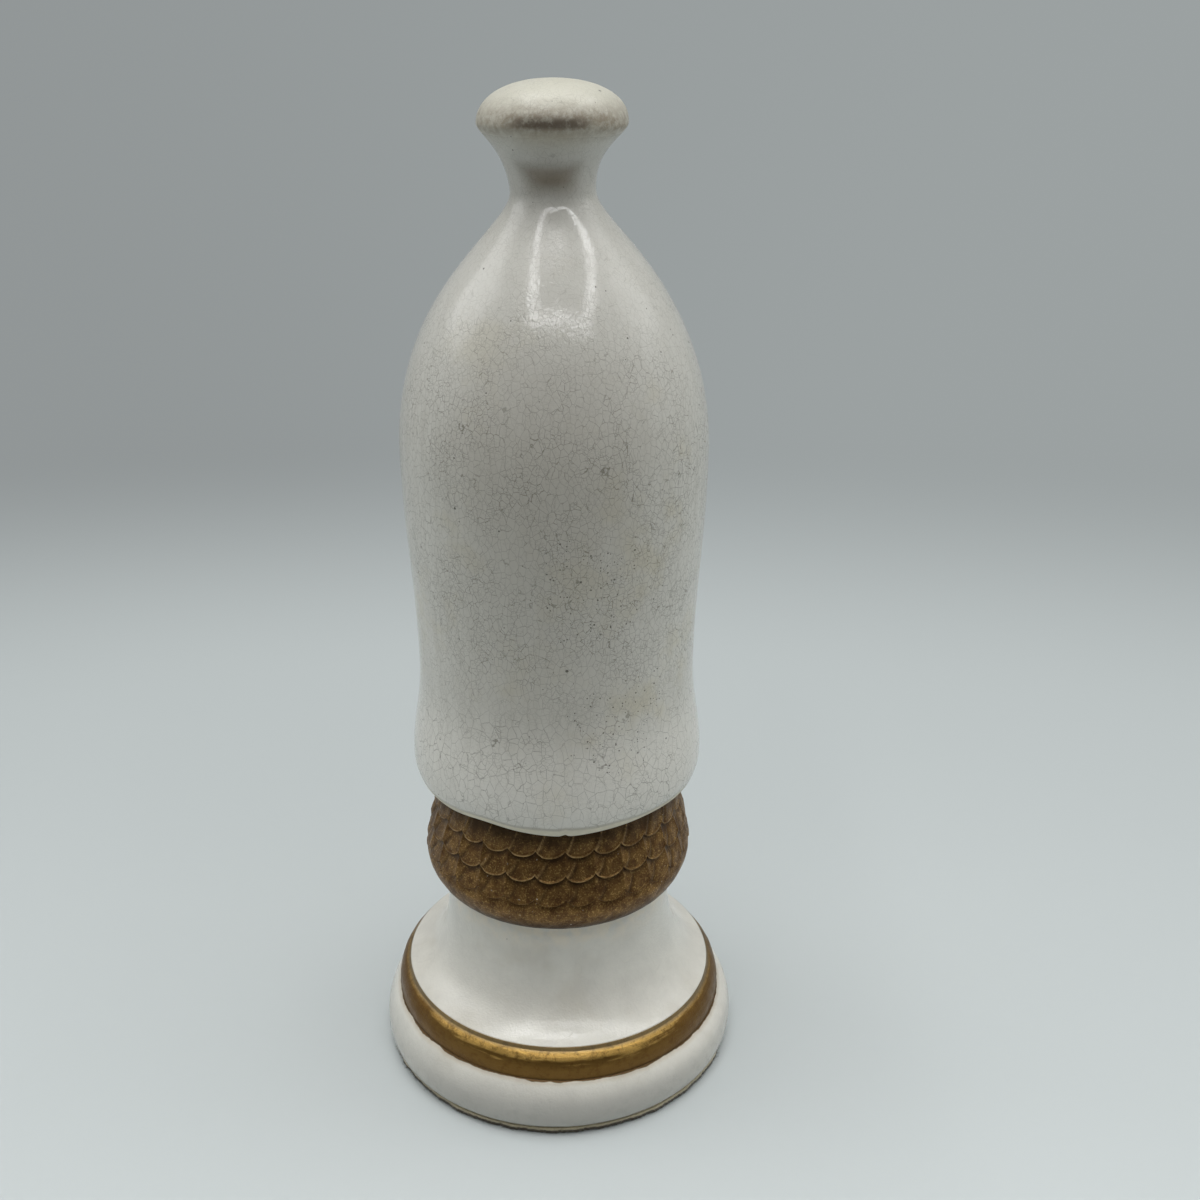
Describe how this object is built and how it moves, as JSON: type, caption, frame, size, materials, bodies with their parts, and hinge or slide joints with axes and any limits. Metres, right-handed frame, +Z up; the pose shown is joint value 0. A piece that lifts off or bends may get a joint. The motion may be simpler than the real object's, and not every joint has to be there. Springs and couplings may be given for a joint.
{
  "type": "chess pawn",
  "caption": "Large ceramic chess pawn: crazed white bell with a knob, gilt scale collar, coved white foot with a gilt bead, on a felt pad.",
  "frame": {"origin": "centre of the felt pad's underside, on the surface that the pawn stands on", "axes": "+Z up along the turning axis through the knob; the picture looks along +Y, a little down"},
  "size_m": [0.0772, 0.0772, 0.2017],
  "materials": {
    "crazed_glaze": "satin white glaze with fine crazing and pinholes",
    "antique_gilt": "dark antique gilding, rubbed bright on the raised edges",
    "foot_glaze": "smooth satin white glaze",
    "bright_gilt": "brushed gilding",
    "plaster": "cast plaster, hidden",
    "felt": "cream wool felt, hand cut"
  },
  "bodies": {
    "root": {"bell_head": "crazed_glaze", "scale_collar": "antique_gilt", "base_foot": "foot_glaze", "bead_ring": "bright_gilt", "plaster_weight": "plaster", "felt_pad": "felt"}
  },
  "joints": []
}
